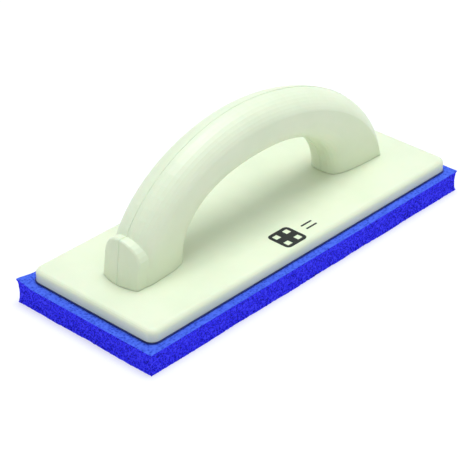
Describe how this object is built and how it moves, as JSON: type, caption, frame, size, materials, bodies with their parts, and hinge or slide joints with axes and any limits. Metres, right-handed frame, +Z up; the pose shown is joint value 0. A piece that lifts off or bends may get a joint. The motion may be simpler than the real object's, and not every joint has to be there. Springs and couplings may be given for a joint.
{
  "type": "grout float",
  "caption": "Hand float with a rigid moulded plate, a hollow arch handle in two halves and a bonded cellular foam pad, for wiping and finishing grout.",
  "frame": {"origin": "middle of the foam pad's working face, on the surface that the float rests on", "axes": "+X along the float from its nose end to its heel end, +Y to the right of a user who looks towards the nose, +Z up from the working face to the handle"},
  "size_m": [0.28, 0.11, 0.0999],
  "materials": {
    "foam": "matte open-cell foam with a skinless cut face",
    "adhesive": "satin cured glue line",
    "plate": "satin moulded",
    "handle": "satin moulded",
    "screw": "bright zinc plate"
  },
  "bodies": {
    "root": {"foam_pad": "foam", "adhesive_layer": "adhesive", "base_plate": "plate", "handle_shell_left": "handle", "handle_shell_right": "handle", "screw_front_left": "screw", "screw_front_right": "screw", "screw_rear_left": "screw", "screw_rear_right": "screw"}
  },
  "joints": []
}
